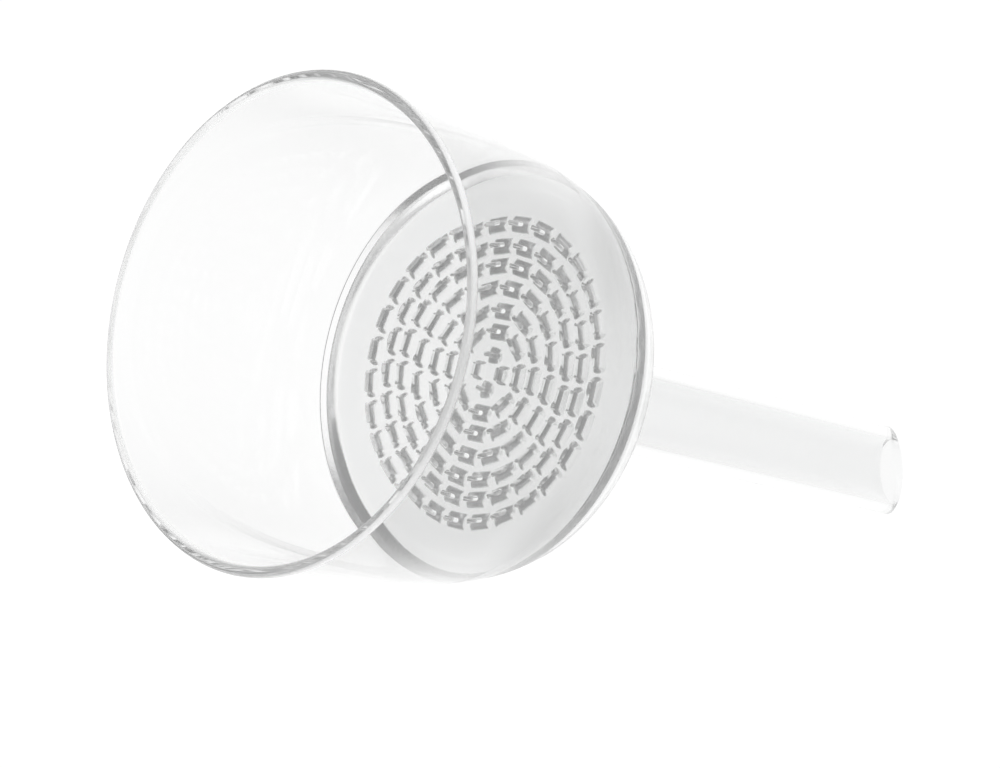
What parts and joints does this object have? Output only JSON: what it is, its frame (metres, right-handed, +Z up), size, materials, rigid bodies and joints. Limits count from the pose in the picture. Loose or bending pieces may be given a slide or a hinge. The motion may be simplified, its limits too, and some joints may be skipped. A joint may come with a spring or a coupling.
{
  "type": "glass filter funnel",
  "caption": "Clear glass filter funnel: a wide open bowl over a flat sieve plate pierced by rings of slots, with a rounded collector and a straight stem, cut at a slant, below.",
  "frame": {"origin": "centre of the sieve plate's upper face", "axes": "+Z up the funnel's axis, out of the mouth of the bowl; X and Y along the sieve plate"},
  "size_m": [0.114, 0.114, 0.2275],
  "materials": {
    "bowl_glass": "clear, fire-polished",
    "plate_glass": "clear, pressed and slotted, slightly wavy",
    "collector_glass": "clear, fire-polished",
    "stem_glass": "clear, fire-polished"
  },
  "bodies": {
    "root": {"bowl": "bowl_glass", "sieve_plate": "plate_glass", "collector": "collector_glass", "stem": "stem_glass"}
  },
  "joints": []
}
